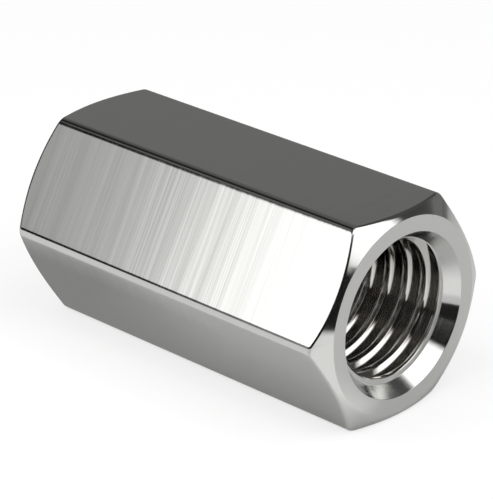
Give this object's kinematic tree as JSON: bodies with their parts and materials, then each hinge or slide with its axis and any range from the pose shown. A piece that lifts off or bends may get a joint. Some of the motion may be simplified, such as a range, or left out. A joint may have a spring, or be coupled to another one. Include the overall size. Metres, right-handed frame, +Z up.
{
  "type": "coupling nut",
  "caption": "Long hexagonal nut, tapped from end to end with a coarse metric thread, with turned chamfers and countersunk mouths, for joining threaded rods.",
  "frame": {"origin": "on the flat that the nut lies on, under the middle of its length and of its bore", "axes": "+X along the bore towards the end face that the picture shows, +Z up from the resting flat, +Y towards one long edge"},
  "size_m": [0.032, 0.0182, 0.016],
  "materials": {
    "bright_steel": "bright zinc-plated steel, smooth drawn flats and finely turned ends"
  },
  "bodies": {
    "root": {"coupling_nut": "bright_steel"}
  },
  "joints": []
}
